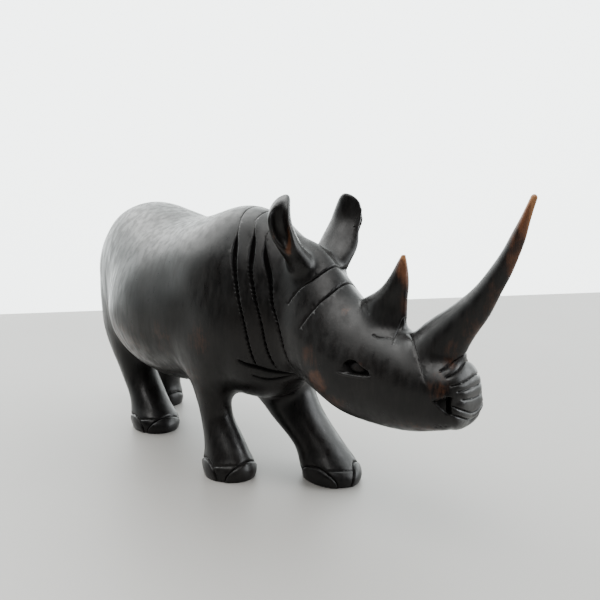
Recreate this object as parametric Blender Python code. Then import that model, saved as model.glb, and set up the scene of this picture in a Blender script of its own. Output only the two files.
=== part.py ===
"""A rhinoceros carved from one piece of dark wood, walking, on its own four feet.

+X is the way it walks, +Y its left side and +Z up. The masses are distance
fields worked out with numpy: a field is negative inside its mass, zero on its
surface and positive outside. Smooth unions blend the masses, the knife's work
is added to the field as a depth, and the surface where the sum is zero becomes
the mesh. No primitive or modifier blends unlike masses at chosen widths.
"""
import bmesh
import bpy
import numpy as np
from math import radians

# Sizes in metres
LENGTH = 0.301
GRID_STEP = 0.0014
TRIANGLES = 9400

# The pose, proportions and carving are shares of the length. One share is a
# 301st of it, which is 1 mm on the real carving.
SHARE = LENGTH / 301

# The box that the field is searched in, in shares
FIELD_LOWER = (-114.0, -52.0, -4.0)
FIELD_UPPER = (196.0, 52.0, 150.0)
OUT_OF_REACH = 60.0

# Trunk masses: centre, then radii along x, along y, upwards and downwards
RUMP = ((-62, 0, 91), (48, 32, 44, 44))
BARREL = ((-18, 0, 76), (64, 45, 51.3, 41.5))
SHOULDERS = ((33, 0, 86), (37, 34, 45.5, 44))
CHEST = ((56, 0, 72), (26, 25, 30, 30))
TRUNK_BLEND = 19.0
HIND_FOLD = 5.0
FOLD_HEIGHTS = (78.0, 118.0)
LEG_BLEND = 7.0
NECK_BLEND = 14.0
HORN_BLEND = 3.0
EAR_BLEND = 4.0

# Level sections of each leg from the sole up: height, centre x, centre y,
# half length along x, half width along y
LEGS = {
    "right_front": (
        (-3, 43.5, -18, 12.8, 11), (4, 43.5, -18, 15, 12.8), (12, 41, -18, 12.6, 11),
        (30, 32.5, -18.5, 9, 8.2), (42, 31.5, -19.5, 11.5, 9.5), (55, 33, -20, 16.5, 12.5),
        (75, 36, -18, 22, 15), (95, 37, -8, 20, 14)),
    "left_front": (
        (-3, 80, 19, 14.5, 11.5), (4, 80, 19, 17, 13.5), (14, 72, 19, 15, 12.3),
        (28, 55, 16.5, 18, 13), (42, 42, 15.5, 22.5, 14.5), (58, 38, 16, 22.5, 15),
        (75, 37, 16, 22, 14), (95, 37, 8, 20, 14)),
    "right_hind": (
        (-3, -43, -15, 15, 11.5), (4, -43, -15, 16.5, 13.3), (14, -49, -15, 13.8, 11.2),
        (28, -60.5, -15, 13, 10.5), (42, -68.5, -16, 16, 11.5), (62, -71.5, -17, 22.5, 13.5),
        (82, -68, -14, 25, 15), (100, -62, -8, 22, 14)),
    "left_hind": (
        (-3, -84, 11, 14.5, 11.5), (4, -84, 11, 16.2, 13.2), (14, -84, 12, 13, 11),
        (28, -80, 13, 13, 11), (45, -76, 15, 17, 13), (65, -70, 16, 22, 15),
        (85, -64, 13, 24, 16), (100, -62, 8, 22, 14)),
}

# The way that each foot points, turned to the animal's left from +X
FOOT_TURN = {"right_front": 0.0, "left_front": 30.0, "right_hind": 0.0, "left_hind": 0.0}

# The tail lies against the rump: its line and its radii along the line
TAIL = (((-94, 0, 122), (-106, 0, 106), (-109.2, 0, 90), (-104.5, 0, 70)), (3.0, 3.2, 2.6, 3.6))

# The head turns to its left about an upright line in the neck
HEAD_TURN = 8.0
NECK_PIVOT = 60.0
TURN_STARTS = 30.0
TURN_ENDS = 80.0

# Cross sections of the neck and head, straight ahead: x, lowest height, height
# where it is widest, crest height, half width, and how square it is above and below
HEAD_SECTIONS = (
    (14, 60, 90, 118, 18, 2.0, 2.0),
    (36, 52, 90, 132.5, 24, 2.0, 2.0),
    (60, 55, 88, 131.8, 19.5, 2.0, 2.0),
    (76, 59, 84, 122.8, 17, 1.8, 2.0),
    (90, 54, 81, 118, 20.3, 1.5, 2.2),
    (100, 49.3, 77.5, 108.8, 21, 1.5, 2.2),
    (108, 46, 75, 100.8, 21, 1.5, 2.2),
    (125, 43.7, 70, 92, 19, 1.6, 2.3),
    (145, 45.6, 66, 84, 17, 1.8, 2.4),
    (160, 49.3, 64, 80, 15, 2.0, 2.6),
    (176, 53.5, 64, 75, 13, 2.0, 2.6),
)
NECK_START = 16.0
MUZZLE_END = 169.0
MUZZLE_ROUND = 10.0

# The front horn in the head's upright plane: line of (x, height), radii along it, the
# width across as a share of the radius, and how square the section is
FRONT_HORN = (((145, 70), (156, 86), (170.4, 102.8), (181.2, 121.3), (189.4, 142.6)),
              (15.5, 10.4, 5.6, 3.5, 1.1), 0.74, 1.7)

# Level sections of the rear horn, a fin: rows as for a leg, and how square it is
REAR_HORN = (
    (80, 124, 0, 11, 8.5), (90, 125, 0, 11.2, 7.4), (98, 125.8, 0, 10.8, 5.6),
    (101, 128.5, 0, 8.2, 5.0), (104, 130.6, 0, 6.3, 4.4), (108, 132.4, 0, 4.5, 3.6),
    (112, 133.5, 0, 3.1, 2.7), (116, 134.2, 0, 1.9, 1.6), (119.5, 134.8, 0, 0.6, 0.5),
)
HORN_EDGE = 1.7

# Ears, each a cone turned outwards by an angle, cut off slanting and scooped out in
# front. Level sections: height, centre x, centre y, half depth, half width, and then
# the scoop's shift forwards and outwards, its half depth and its half width
EARS = (
    (98, 85.0, 1.0, 9.0, 6.5, 11.0, 2.0, 0.5, 0.3), (106, 86.0, 5.0, 8.8, 6.3, 10.4, 2.6, 0.5, 0.3),
    (113, 86.6, 10.2, 8.4, 6.0, 9.0, 2.8, 0.6, 0.5), (118, 86.8, 15.2, 8.2, 5.6, 7.7, 1.6, 2.4, 2.2),
    (124, 86.4, 19.4, 8.0, 5.5, 6.8, 0.4, 4.8, 3.8), (131, 86.6, 22.6, 7.8, 5.2, 6.4, 0.0, 5.8, 4.2),
    (137, 86.7, 22.8, 6.9, 4.9, 5.8, 0.0, 5.2, 3.8), (142, 86.8, 22.0, 5.6, 4.4, 4.9, -0.2, 4.2, 2.8),
    (147, 87.0, 21.5, 4.6, 4.0, 4.0, -0.2, 3.2, 2.0),
)
# What each side has of its own: the shift along x, the turn, and how far the ear leans
# outwards over each share of height above its middle
EAR_PLACES = {-1: (-1.5, 52.0, 0.0), 1: (0.0, 30.0, 0.12)}
EAR_MIDDLE = 118.0
EAR_SLANT = (0.61, 0.79, 123.9)
EAR_ROUND = 3.0
CUP_RIM = 2.5

# Neck grooves, as (height, x) from the crest down; each is widest under its top
NECK_GROOVES = (
    ((134, 46.5), (110, 56.2), (84, 64.7), (60, 68.5)),
    ((128, 57.0), (110, 63.2), (84, 72.2), (60, 76.5)),
    ((122, 67.0), (110, 69.8), (84, 80.2), (60, 86.5)),
)
NECK_GROOVE_HALF_WIDTHS = (0.9, 2.0, 1.3, 0.9)
NECK_GROOVE_DEPTH = 1.7
NECK_GROOVE_FOOT = 62.0

# Knife strokes on both sides of the head: line of (x, height), half width, depth
STROKES = (
    (((99, 113), (97.3, 109.3), (94.5, 105.2), (89.5, 100.7), (84.9, 93.7)), 1.0, 1.0),
    (((107, 106), (104.4, 102.4), (103, 98.9), (100.7, 95.6), (94.6, 84.5)), 1.0, 1.0),
    (((139, 96), (137.7, 92.4), (136.9, 88), (137.4, 82.2)), 1.3, 1.5),
    (((129, 84.1), (133, 84.0), (137, 84.5)), 1.0, 0.9),
    (((140, 87), (144.2, 84.9), (149, 80.4), (153.1, 75.1), (157.1, 69.5)), 1.1, 1.1),
)

# Eye socket: (x, height) along the upper lid, height of the lower lid, eyeball
UPPER_LID = ((115.7, 68.7), (119.9, 74.2), (123.3, 74.7), (126.7, 74.9), (132.2, 69.4))
LOWER_LID = 68.9
EYE_DEPTH = 2.2
EYEBALL = (123.6, 71.6, 2.9)
EYE_SIDE = 12.0

# Nostril: its narrow rear end, its deep front edge, heights there, and depth
NOSTRIL_REAR = (160.0, 64.6)
NOSTRIL_FRONT = 166.5
NOSTRIL_HEIGHTS = (60.0, 66.6)
NOSTRIL_DEPTH = 2.6

# Folds of the upper lip: a fan of bands round the muzzle, from the top one down
LIP_FOLDS = 6
LIP_TOP_IN_FRONT = 80.5
LIP_TOP_AT_SIDE = 75.8
LIP_STEP_IN_FRONT = 4.4
LIP_STEP_AT_SIDE = 2.6
LIP_SIDE = 11.0
LIP_FOLD_DEPTH = 1.5
LIP_FOLD_REAR = 162.0
LIP_FOLD_FADE = 3.0

# Toenails round the front of each foot
NAIL_ANGLES = (-110.0, 0.0, 110.0)
NAIL_HALF_ANGLE = 48.0
NAIL_HEIGHT = 9.5
NAIL_GROOVE_HALF_WIDTH = 1.1
NAIL_GROOVE_DEPTH = 0.9


def through(at, knots, values):
    """A smooth curve through (knot, value) pairs: cubic Hermite pieces."""
    knots = np.asarray(knots, float)
    values = np.asarray(values, float)
    slopes = np.gradient(values, knots)
    at = np.clip(at, knots[0], knots[-1])
    k = np.clip(np.searchsorted(knots, at, side="right") - 1, 0, len(knots) - 2)
    step = knots[k + 1] - knots[k]
    u = (at - knots[k]) / step
    start = (1 + 2 * u) * (1 - u) ** 2 * values[k] + u * (1 - u) ** 2 * step * slopes[k]
    end = u * u * (3 - 2 * u) * values[k + 1] + u * u * (u - 1) * step * slopes[k + 1]
    return start + end


def ramp(value):
    """0 below 0, 1 above 1, and a smooth S between."""
    u = np.clip(value, 0, 1)
    return u * u * (3 - 2 * u)


def smooth_union(a, b, blend):
    """The lesser field, with a fillet where the two are within the blend."""
    close = np.maximum(blend - np.abs(a - b), 0) / blend
    return np.minimum(a, b) - close * close * blend / 4


def smooth_cut(a, b, blend):
    """The greater field, with the edge rounded by the blend."""
    return -smooth_union(-a, -b, blend)


def near(points, lower, upper, field, elsewhere=OUT_OF_REACH):
    """A field worked out only for the points within a box, and one value elsewhere."""
    result = np.full(points.shape[:-1], elsewhere)
    close = ((points > lower) & (points < upper)).all(-1)
    if close.any():
        result[close] = field(points[close])
    return result


def ellipsoid(points, centre, radii):
    """Offset over radii, its length k and k over the radii again: k(k - 1) / that."""
    offset = points - np.asarray(centre, float)
    height = np.where(offset[..., 2] > 0, radii[2], radii[3])
    radius = np.stack([np.full_like(height, radii[0]), np.full_like(height, radii[1]), height], -1)
    k = np.linalg.norm(offset / radius, axis=-1)
    slope = np.linalg.norm(offset / radius ** 2, axis=-1)
    return k * (k - 1) / np.maximum(slope, 1e-9)


def section(across, up, half_width, half_height, square):
    """Distance from a superellipse: offset length times (1 - 1 / its own norm)."""
    k = ((np.abs(across) / half_width) ** square + (np.abs(up) / half_height) ** square) ** (1 / square)
    distance = np.hypot(across, up) * (1 - 1 / np.maximum(k, 1e-6))
    return np.where(k < 1e-3, -np.minimum(half_width, half_height), distance)


def leg(points, rows, square=2.0):
    """Level ovals whose centre and radii follow smooth curves up the rows."""
    table = np.asarray(rows, float)
    height = points[..., 2]
    x, y, half_length, half_width = (through(height, table[:, 0], table[:, i]) for i in range(1, 5))
    side = section(points[..., 0] - x, points[..., 1] - y, half_length, half_width, square)
    return np.maximum(side, np.maximum(height - table[-1, 0], table[0, 0] - height))


def head_block(points):
    """Upright superellipse sections along x, with their own power above and below."""
    table = np.asarray(HEAD_SECTIONS, float)
    low, wide, crest, half_width, above, below = (
        through(points[..., 0], table[:, 0], table[:, i]) for i in range(1, 7))
    up = points[..., 2] - wide
    half_height = np.where(up > 0, crest - wide, wide - low)
    block = section(points[..., 1], up, half_width, half_height, np.where(up > 0, above, below))
    block = smooth_cut(block, points[..., 0] - MUZZLE_END, MUZZLE_ROUND)
    return smooth_cut(block, NECK_START - points[..., 0], MUZZLE_ROUND)


def nearest_on(points, line, values, steps=24):
    """Distance to a smooth line, and the value that the line has at the nearest place."""
    line = np.asarray(line, float)
    knots = np.arange(len(line))
    places = np.linspace(0, len(line) - 1, steps)
    line = np.stack([through(places, knots, line[:, i]) for i in range(line.shape[1])], 1)
    values = through(places, knots, values)
    distance = np.full(points.shape[:-1], np.inf)
    result = np.zeros(points.shape[:-1])
    for start, end, first, last in zip(line[:-1], line[1:], values[:-1], values[1:]):
        along = end - start
        u = np.clip(((points - start) @ along) / (along @ along), 0, 1)
        away = np.linalg.norm(points - (start + u[..., None] * along), axis=-1)
        closer = away < distance
        distance = np.where(closer, away, distance)
        result = np.where(closer, first + u * (last - first), result)
    return distance, result


def horn(points, line, radii, flatness, square):
    """A tapering blade in the plane y = 0, thinner across it by its flatness."""
    distance, radius = nearest_on(points[..., [0, 2]], line, radii)
    return section(distance, points[..., 1], radius, radius * flatness, square)


def ear(points, side):
    """A cone of level ovals turned outwards, less a slanting end and the scoop in front."""
    table = np.asarray(EARS, float)
    height = points[..., 2]
    x, y, half_depth, half_width, ahead, aside, cup_depth, cup_width = (
        through(height, table[:, 0], table[:, i]) for i in range(1, 9))
    shift, turn, lean = EAR_PLACES[side]
    turn = radians(turn)
    across = side * points[..., 1] - lean * (height - EAR_MIDDLE)
    x = points[..., 0] - x - shift
    forward = x * np.cos(turn) + (across - y) * np.sin(turn)
    outward = (across - y) * np.cos(turn) - x * np.sin(turn)
    cone = section(forward, outward, half_depth, half_width, 2.2)
    slant = EAR_SLANT[0] * across + EAR_SLANT[1] * height - EAR_SLANT[2]
    cone = smooth_cut(cone, np.maximum(slant, table[0, 0] - height), EAR_ROUND)
    cup = section(forward - ahead, outward - aside, cup_depth, cup_width, 2.0)
    return smooth_cut(cone, -cup, CUP_RIM)


def straighten(points):
    """The points turned back about the neck, as if the head looked straight ahead."""
    turn = radians(HEAD_TURN) * ramp((points[..., 0] - TURN_STARTS) / (TURN_ENDS - TURN_STARTS))
    ahead = points[..., 0] - NECK_PIVOT
    side = points[..., 1]
    x = NECK_PIVOT + ahead * np.cos(turn) + side * np.sin(turn)
    y = side * np.cos(turn) - ahead * np.sin(turn)
    return np.stack([x, y, points[..., 2]], -1)


def tail_rod(points):
    """A round rod along the tail's line."""
    distance, radius = nearest_on(points, *TAIL)
    return distance - radius


def trunk(points):
    """Rump, barrel, shoulders and chest, blended in turn, and the tail on the rump."""
    fold = HIND_FOLD + (TRUNK_BLEND - HIND_FOLD) * ramp((points[..., 2] - FOLD_HEIGHTS[0])
                                                        / (FOLD_HEIGHTS[1] - FOLD_HEIGHTS[0]))
    whole = smooth_union(ellipsoid(points, *RUMP), ellipsoid(points, *BARREL), fold)
    for mass in (SHOULDERS, CHEST):
        whole = smooth_union(whole, ellipsoid(points, *mass), TRUNK_BLEND)
    tail = near(points, (-114, -12, 60), (-80, 12, 130), tail_rod)
    return smooth_union(whole, tail, HORN_BLEND)


def head(points):
    """Neck and head with both horns, for straightened points."""
    whole = head_block(points)
    rear = near(points, (104, -16, 76), (152, 16, 130), lambda close: leg(close, REAR_HORN, HORN_EDGE))
    front = near(points, (120, -24, 48), (202, 24, 155), lambda close: horn(close, *FRONT_HORN))
    return smooth_union(smooth_union(whole, rear, HORN_BLEND), front, HORN_BLEND)


def masses(points):
    """The whole animal before its lines are cut."""
    whole = trunk(points)
    straight = straighten(points)
    whole = smooth_union(whole, near(straight, (14, -60, -10), (210, 60, 160), head), NECK_BLEND)
    for rows in LEGS.values():
        xs = [row[1] for row in rows]
        ends = (min(xs) - 32, -50, -10), (max(xs) + 32, 50, 112)
        whole = smooth_union(whole, near(points, *ends, lambda close: leg(close, rows)), LEG_BLEND)
    for side in EAR_PLACES:
        ends = (62, min(side * 40, -2), 94), (108, max(side * 40, 2), 152)
        whole = smooth_union(whole, near(straight, *ends, lambda close: ear(close, side)), EAR_BLEND)
    return whole


def notch(distance, half_width, depth):
    """The depth of a V cut with a rounded rim, from the distance to its line."""
    return depth * (1 - np.clip(distance / half_width, 0, 1)) ** 1.3


def neck_grooves(points):
    """Three cuts round the neck, each at its own x for every height."""
    depth = np.zeros(points.shape[:-1])
    for groove in NECK_GROOVES:
        heights = [place[0] for place in groove][::-1]
        places = [place[1] for place in groove][::-1]
        half_width = through(points[..., 2], heights, NECK_GROOVE_HALF_WIDTHS[::-1])
        distance = np.abs(points[..., 0] - through(points[..., 2], heights, places))
        depth = np.maximum(depth, notch(distance, half_width, NECK_GROOVE_DEPTH * half_width / 2))
    return depth * ramp((points[..., 2] - NECK_GROOVE_FOOT + 4) / 8)


def eye(points):
    """A socket between the lids with the eyeball standing in it."""
    x = points[..., 0]
    height = points[..., 2]
    lid = through(x, [place[0] for place in UPPER_LID], [place[1] for place in UPPER_LID])
    room = np.minimum(height - LOWER_LID, lid - height)
    room = np.where((x > UPPER_LID[0][0]) & (x < UPPER_LID[-1][0]), room, 0)
    away = np.hypot(x - EYEBALL[0], height - EYEBALL[1]) / EYEBALL[2]
    ball = np.sqrt(np.clip(1 - away ** 2, 0, 1))
    return EYE_DEPTH * ramp(room / 1.4) * (1 - 0.75 * ball)


def nostril(points):
    """A wedge that widens and deepens forwards to an upright edge."""
    share = (points[..., 0] - NOSTRIL_REAR[0]) / (NOSTRIL_FRONT - NOSTRIL_REAR[0])
    low = NOSTRIL_REAR[1] + (NOSTRIL_HEIGHTS[0] - NOSTRIL_REAR[1]) * share
    high = NOSTRIL_REAR[1] + (NOSTRIL_HEIGHTS[1] - NOSTRIL_REAR[1]) * share
    room = np.minimum(points[..., 2] - low, high - points[..., 2])
    edge = ramp((NOSTRIL_FRONT + 0.5 - points[..., 0]) / 1.0)
    return NOSTRIL_DEPTH * np.clip(share, 0, 1) * ramp(room / 1.5) * edge


def lip_folds(points):
    """Bands counted down the muzzle; each band is an arch between two valleys."""
    side = np.clip(np.abs(points[..., 1]) / LIP_SIDE, 0, 1.3)
    top = LIP_TOP_IN_FRONT + (LIP_TOP_AT_SIDE - LIP_TOP_IN_FRONT) * side
    step = LIP_STEP_IN_FRONT + (LIP_STEP_AT_SIDE - LIP_STEP_IN_FRONT) * side
    band = (top - points[..., 2]) / step
    across = 2 * (band - np.floor(band)) - 1
    valley = 1 - np.sqrt(np.clip(1 - across ** 2, 0, 1))
    among = ramp((band + 0.5) / 0.5) * ramp((LIP_FOLDS + 0.5 - band) / 0.5)
    ahead = ramp((points[..., 0] - LIP_FOLD_REAR) / LIP_FOLD_FADE)
    return LIP_FOLD_DEPTH * valley * among * ahead


def head_cuts(points):
    """Everything that the knife cut on the head, for straightened points."""
    depth = np.zeros(points.shape[:-1])
    for line, half_width, deep in STROKES:
        distance, _ = nearest_on(points[..., [0, 2]], line, np.ones(len(line)), steps=12)
        depth = np.maximum(depth, notch(distance, half_width, deep))
    on_side = ramp((np.abs(points[..., 1]) - EYE_SIDE + 4) / 4)
    on_cheek = (points[..., 0] < 150) * on_side
    on_muzzle = (points[..., 2] < LIP_TOP_IN_FRONT + 3) * 1.0
    depth = np.maximum(depth, eye(points) * on_cheek)
    return np.maximum(depth, np.maximum(lip_folds(points), nostril(points) * on_side) * on_muzzle)


def nail_cuts(points, foot, turn):
    """Arches round a foot: height falls from each nail's middle to its ends."""
    ahead = points[..., 0] - foot[1]
    side = points[..., 1] - foot[2]
    angle = np.degrees(np.arctan2(side, ahead)) - turn
    depth = np.zeros(points.shape[:-1])
    for middle in NAIL_ANGLES:
        share = ((angle - middle + 180) % 360 - 180) / NAIL_HALF_ANGLE
        arch = NAIL_HEIGHT * np.sqrt(np.clip(1 - share ** 2, 0, 1))
        steep = 1 + np.abs(share) ** 4
        distance = np.abs(points[..., 2] - arch) / steep
        depth = np.maximum(depth, notch(distance, NAIL_GROOVE_HALF_WIDTH, NAIL_GROOVE_DEPTH) * (arch > 0))
    return depth


def carved(points):
    """The masses with every cut taken out of them."""
    straight = straighten(points)
    depth = near(straight, (38, -40, 54), (96, 40, 140), neck_grooves, 0.0)
    depth = np.maximum(depth, near(straight, (80, -30, 50), (172, 30, 120), head_cuts, 0.0))
    for name, rows in LEGS.items():
        foot = rows[1]
        ends = (foot[1] - 20, foot[2] - 17, -5), (foot[1] + 20, foot[2] + 17, 14)
        cuts = near(points, *ends, lambda close: nail_cuts(close, foot, FOOT_TURN[name]), 0.0)
        depth = np.maximum(depth, cuts)
    return masses(points) + depth


def fill_pinches(values):
    """Fills grid points until no cell face is inside at two opposite corners only,
    so that no edge of the mesh belongs to four faces."""
    pinched = True
    while pinched:
        pinched = False
        for u, v in ((0, 1), (0, 2), (1, 2)):
            corners = {}
            for shift in ((0, 0), (0, 1), (1, 0), (1, 1)):
                window = [slice(None)] * 3
                window[u] = slice(shift[0], values.shape[u] - 1 + shift[0])
                window[v] = slice(shift[1], values.shape[v] - 1 + shift[1])
                corners[shift] = values[tuple(window)]
            inside = {shift: corner < 0 for shift, corner in corners.items()}
            one_way = inside[0, 0] & inside[1, 1] & ~inside[0, 1] & ~inside[1, 0]
            other_way = inside[0, 1] & inside[1, 0] & ~inside[0, 0] & ~inside[1, 1]
            cross = one_way | other_way
            if cross.any():
                pinched = True
                for corner in corners.values():
                    corner[cross] = np.minimum(corner[cross], -0.01)


def surface_net(field, lower, upper, step):
    """One vertex in each grid cell that the surface crosses, at the mean of its
    crossings, and one face round each grid edge that it crosses."""
    axes = [np.arange(low, high + step, step) for low, high in zip(lower, upper)]
    grid = np.stack(np.meshgrid(*axes, indexing="ij"), -1)
    values = np.stack([field(sheet) for sheet in grid])
    fill_pinches(values)
    cells = tuple(np.array(values.shape) - 1)
    total = np.zeros(cells + (3,))
    count = np.zeros(cells)
    crossings = []
    for axis in range(3):
        first = tuple(slice(0, -1) if i == axis else slice(None) for i in range(3))
        second = tuple(slice(1, None) if i == axis else slice(None) for i in range(3))
        crossed = (values[first] < 0) != (values[second] < 0)
        places = grid[first].copy()
        gap = np.where(crossed, values[first] - values[second], 1)
        places[..., axis] += step * values[first] / gap
        places[~crossed] = 0
        beside = [i for i in range(3) if i != axis]
        for shift in ((0, 0), (0, 1), (1, 0), (1, 1)):
            window = [slice(None)] * 3
            for i, start in zip(beside, shift):
                window[i] = slice(start, start + cells[i])
            total += places[tuple(window)]
            count += crossed[tuple(window)]
        crossings.append((axis, np.argwhere(crossed), values[first][crossed] < 0))
    used = count > 0
    number = np.full(cells, -1)
    number[used] = np.arange(used.sum())
    faces = []
    for axis, edges, starts_inside in crossings:
        across = np.eye(3, dtype=int)[(axis + 1) % 3]
        up = np.eye(3, dtype=int)[(axis + 2) % 3]
        corners = [number[tuple((edges - shift).T)] for shift in (across + up, up, 0 * up, across)]
        ring = np.stack(corners, 1)
        ring[~starts_inside] = ring[~starts_inside][:, ::-1]
        faces.append(ring)
    return total[used] / count[used][:, None], np.concatenate(faces)


def settle(points, field, rounds=3, probe=0.15):
    """Newton steps along the field's slope, so the points lie on its surface."""
    for _ in range(rounds):
        value = field(points)
        slope = np.stack([field(points + probe * axis) - field(points - probe * axis)
                          for axis in np.eye(3)], -1) / (2 * probe)
        step = value / np.maximum((slope * slope).sum(-1), 0.2)
        points = points - np.clip(step, -1.0, 1.0)[:, None] * slope
    return points


def stand_on_floor(mesh):
    """Cuts the feet level at height 0, closes the soles and centres the footprint."""
    work = bmesh.new()
    work.from_mesh(mesh)
    everything = work.verts[:] + work.edges[:] + work.faces[:]
    cut = bmesh.ops.bisect_plane(work, geom=everything, plane_co=(0, 0, 0), plane_no=(0, 0, 1),
                                 dist=1e-7, clear_inner=True)
    rim = [item for item in cut["geom_cut"] if isinstance(item, bmesh.types.BMEdge)]
    bmesh.ops.holes_fill(work, edges=rim, sides=0)
    bmesh.ops.triangulate(work, faces=work.faces[:])
    xs = [vertex.co.x for vertex in work.verts]
    ys = [vertex.co.y for vertex in work.verts]
    middle = ((min(xs) + max(xs)) / 2, (min(ys) + max(ys)) / 2, 0)
    bmesh.ops.translate(work, vec=[-place for place in middle], verts=work.verts)
    bmesh.ops.recalc_face_normals(work, faces=work.faces)
    work.to_mesh(mesh)
    work.free()


def dark_wood():
    """Near-black stained wood, rubbed to a satin polish."""
    material = bpy.data.materials.new("dark_wood")
    material.use_nodes = True
    shader = material.node_tree.nodes["Principled BSDF"]
    shader.inputs["Base Color"].default_value = (0.018, 0.014, 0.012, 1)
    shader.inputs["Roughness"].default_value = 0.36
    shader.inputs["Metallic"].default_value = 0.0
    return material


def clear_scene():
    """Takes out whatever the file opened with."""
    for item in list(bpy.data.objects):
        bpy.data.objects.remove(item, do_unlink=True)


def make_rhinoceros(collection):
    """The carved body as one closed mesh of about the wanted number of triangles."""
    step = GRID_STEP / SHARE
    points, faces = surface_net(masses, FIELD_LOWER, FIELD_UPPER, step)
    points = settle(points, carved) * SHARE
    block = bpy.data.meshes.new("rhinoceros_block")
    block.from_pydata(points.tolist(), [], faces.tolist())
    body = bpy.data.objects.new("rhinoceros", block)
    collection.objects.link(body)
    thin = body.modifiers.new("thin_out", "DECIMATE")
    thin.ratio = TRIANGLES / (2 * len(faces))
    bpy.context.view_layer.update()
    evaluated = body.evaluated_get(bpy.context.evaluated_depsgraph_get())
    body.data = bpy.data.meshes.new_from_object(evaluated)
    body.modifiers.clear()
    bpy.data.meshes.remove(block)
    stand_on_floor(body.data)
    body.data.name = "rhinoceros"
    body.data.materials.append(dark_wood())
    body.data.shade_smooth()
    return body


clear_scene()
carving = bpy.data.collections.new("carved_rhinoceros")
bpy.context.scene.collection.children.link(carving)
make_rhinoceros(carving)
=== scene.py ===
"""The looks of a rhinoceros carved from one piece of dark wood.

The body is worked out as its solid is, from distance fields, at a finer grid,
and its cuts are pressed into that surface: a field is negative inside its
mass, zero on its surface and positive outside. Lengths in the tables are in
shares, about 301 to the whole length, which are millimetres on the real carving.
"""
from math import radians

import bmesh
import bpy
import numpy as np
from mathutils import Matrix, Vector


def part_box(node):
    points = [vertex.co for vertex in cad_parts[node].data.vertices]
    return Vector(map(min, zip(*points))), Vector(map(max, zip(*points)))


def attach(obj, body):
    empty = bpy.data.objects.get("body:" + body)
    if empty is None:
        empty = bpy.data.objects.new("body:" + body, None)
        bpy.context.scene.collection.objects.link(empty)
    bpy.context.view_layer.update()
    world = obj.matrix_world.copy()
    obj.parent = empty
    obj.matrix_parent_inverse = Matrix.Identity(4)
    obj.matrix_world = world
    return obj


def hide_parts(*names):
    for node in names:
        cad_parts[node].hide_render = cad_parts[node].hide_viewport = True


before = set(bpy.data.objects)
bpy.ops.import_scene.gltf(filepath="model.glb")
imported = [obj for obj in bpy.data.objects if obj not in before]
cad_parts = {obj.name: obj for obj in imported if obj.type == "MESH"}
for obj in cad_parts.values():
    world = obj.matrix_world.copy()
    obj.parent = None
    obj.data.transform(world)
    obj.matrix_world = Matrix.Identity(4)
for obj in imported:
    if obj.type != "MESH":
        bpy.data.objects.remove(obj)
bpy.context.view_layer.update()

# Sizes from the frame: the solid's length holds this many shares
LENGTH_SHARES = 300.9
SOLID_LOW, SOLID_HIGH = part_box("rhinoceros")
SHARE = (SOLID_HIGH[0] - SOLID_LOW[0]) / LENGTH_SHARES
GRID_STEP = 1.8
# The mesh is refined in a round for each number of lattice parts: where the depth of the
# cuts departs from a triangle's plane by the error, and where it turns by the degrees
LATTICES = (4, 3, 2)
CUT_ERROR = 0.12
SHARP_TURN = 18.0
FIELD_LOWER = (-114.0, -52.0, -4.0)
FIELD_UPPER = (196.0, 52.0, 150.0)
OUT_OF_REACH = 60.0
# Points below this height belong to the flat soles and stay where they are
SOLE_HEIGHT = 0.01

# The photograph's camera, in shares from the same zero as the tables
CAMERA_PLACE = (330.6, -204.0, 150.0)
CAMERA_DOWN = 10.0
CAMERA_BEARING = 39.0
FOCAL_PIXELS = 700.0
FRAME_PIXELS = 600.0
SENSOR = 36.0

# Trunk masses: centre, then radii along x, along y, upwards and downwards
RUMP = ((-62, 0, 91), (48, 32, 44, 44))
BARREL = ((-18, 0, 76), (64, 45, 51.3, 41.5))
SHOULDERS = ((33, 0, 86), (37, 34, 45.5, 44))
CHEST = ((56, 0, 72), (26, 25, 30, 30))
# Fillets between them: the one at the shoulders widens to the saddle's over the saddle
# heights, and the one at the rump is a tight fold below the fold heights
TRUNK_BLEND = 19.0
SADDLE_BLEND = 28.0
SADDLE_HEIGHTS = (96.0, 116.0)
HIND_FOLD = 5.0
FOLD_HEIGHTS = (78.0, 118.0)
# Fillets where the other masses join
LEG_BLEND = 7.0
NECK_BLEND = 14.0
HORN_BLEND = 3.0
EAR_BLEND = 4.0

# Level sections of each leg from the sole up: height, centre x, centre y,
# half length along x, half width along y
LEGS = {
    "right_front": (
        (-3, 43.5, -18, 12.8, 11), (4, 43.5, -18, 15, 12.8), (12, 41, -18, 12.6, 11),
        (30, 32.5, -18.5, 9, 8.2), (42, 31.5, -19.5, 11.5, 9.5), (55, 33, -20, 16.5, 12.5),
        (75, 36, -18, 22, 15), (95, 37, -8, 20, 14)),
    "left_front": (
        (-3, 80, 19, 14.5, 11.5), (4, 80, 19, 17, 13.5), (14, 72, 19, 15, 12.3),
        (28, 55, 16.5, 18, 13), (42, 42, 15.5, 22.5, 14.5), (58, 38, 16, 22.5, 15),
        (75, 37, 16, 22, 14), (95, 37, 8, 20, 14)),
    "right_hind": (
        (-3, -43, -15, 15, 11.5), (4, -43, -15, 16.5, 13.3), (14, -49, -15, 13.8, 11.2),
        (28, -60.5, -15, 13, 10.5), (42, -68.5, -16, 16, 11.5), (62, -71.5, -17, 22.5, 13.5),
        (82, -68, -14, 25, 15), (100, -62, -8, 22, 14)),
    "left_hind": (
        (-3, -84, 11, 14.5, 11.5), (4, -84, 11, 16.2, 13.2), (14, -84, 12, 13, 11),
        (28, -80, 13, 13, 11), (45, -76, 15, 17, 13), (65, -70, 16, 22, 15),
        (85, -64, 13, 24, 16), (100, -62, 8, 22, 14)),
}

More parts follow.
